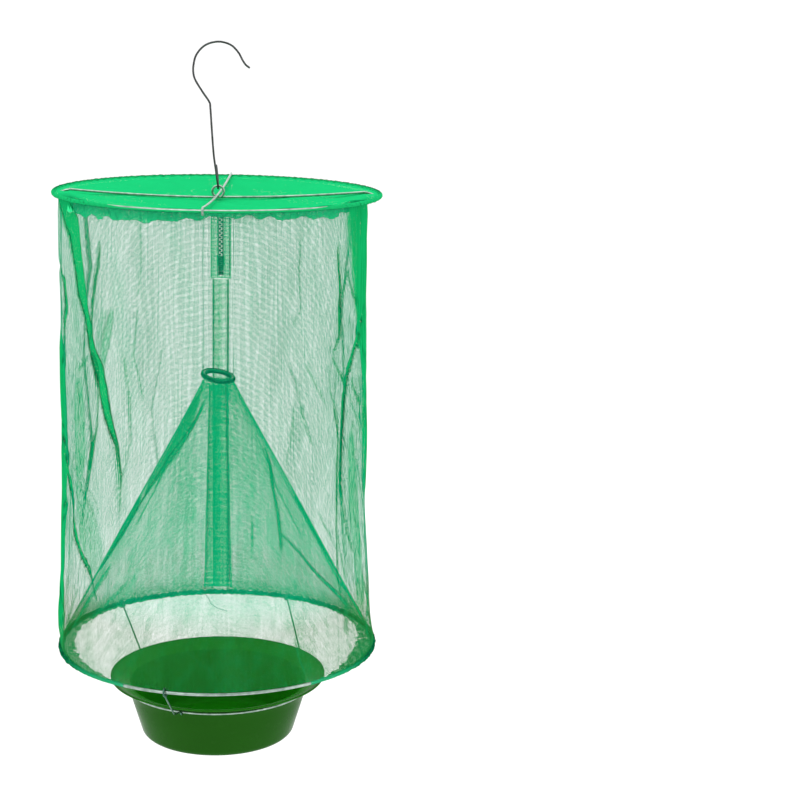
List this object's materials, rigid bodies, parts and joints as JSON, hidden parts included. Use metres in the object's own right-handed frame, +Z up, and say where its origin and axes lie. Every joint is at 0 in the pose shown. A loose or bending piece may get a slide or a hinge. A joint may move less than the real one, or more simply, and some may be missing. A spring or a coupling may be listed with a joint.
{
  "type": "insect trap",
  "caption": "Hanging insect trap: a net cage on two wire hoops with a net funnel inside, a zip at the back and a bait bowl in a smaller hoop below.",
  "frame": {"origin": "inside of the hook's crown, where the trap hangs from a nail or twig", "axes": "+Z up, along the cage's axis; +X across the front, in the plane of the hook; +Y to the back, where the zip is"},
  "size_m": [0.2236, 0.2248, 0.487],
  "materials": {
    "dark_steel_wire": "dark zinc-coated wire, satin",
    "steel_wire": "bare drawn wire, satin",
    "green_net": "close green nylon net",
    "pale_net": "fine see-through nylon mesh",
    "seam_tape": "folded and stitched net",
    "zip_plastic": "moulded",
    "zip_metal": "green lacquer",
    "thread": "sewing thread",
    "bowl_plastic": "glossy moulded plastic"
  },
  "bodies": {
    "hook": {"hanging_hook": "dark_steel_wire"},
    "top_frame": {"top_rim_hoop": "steel_wire", "eye_crossbar": "steel_wire", "plain_crossbar": "steel_wire", "top_cover_net": "green_net", "top_hem_band": "green_net", "side_wall_net": "pale_net", "back_seam_band": "seam_tape", "zip_tape_left": "seam_tape", "zip_tape_right": "seam_tape", "zip_chain_left": "zip_plastic", "zip_chain_right": "zip_plastic", "zip_top_stop_left": "zip_metal", "zip_top_stop_right": "zip_metal", "zip_bottom_stop": "zip_metal", "funnel_tie_left": "thread", "funnel_tie_right": "thread"},
    "zip_slider": {"zip_slider": "zip_metal"},
    "zip_pull": {"zip_pull_tab": "zip_metal"},
    "bottom_frame": {"bottom_hoop": "steel_wire", "bottom_hem": "green_net", "bowl_hoop": "steel_wire", "hanger_wire_front": "steel_wire", "hanger_wire_left": "steel_wire", "hanger_wire_right": "steel_wire", "funnel_net": "pale_net", "funnel_seam_band": "seam_tape"},
    "funnel_tip": {"funnel_tip_ring": "steel_wire", "funnel_tip_hem": "green_net"},
    "bowl": {"bait_bowl": "bowl_plastic"}
  },
  "joints": [
    {"name": "hook_swing", "type": "hinge", "parent": "hook", "child": "top_frame", "pos_m": [0, 0, -0.0953], "axis": [1, 0, 0], "range_deg": [-75, 75]},
    {"name": "net_collapse", "type": "slide", "parent": "top_frame", "child": "bottom_frame", "axis": [0, 0, 1], "range_m": [0, 0.238], "deforming": ["side_wall_net", "back_seam_band", "funnel_tie_left", "funnel_tie_right"]},
    {"name": "funnel_collapse", "type": "slide", "parent": "bottom_frame", "child": "funnel_tip", "axis": [0, 0, -1], "range_m": [0, 0.131], "deforming": ["funnel_net", "funnel_seam_band"]},
    {"name": "zip_travel", "type": "slide", "parent": "top_frame", "child": "zip_slider", "axis": [0, 0, 1], "range_m": [0, 0.046]},
    {"name": "pull_swing", "type": "hinge", "parent": "zip_slider", "child": "zip_pull", "pos_m": [0.002, 0.10925, -0.1601], "axis": [1, 0, 0], "range_deg": [0, 165]},
    {"name": "bowl_lift", "type": "slide", "parent": "bottom_frame", "child": "bowl", "axis": [0, 0, 1], "range_m": [0, 0.04]}
  ],
  "couplings": [
    {"joint": "funnel_collapse", "follows": "net_collapse", "ratio": 0.55}
  ]
}
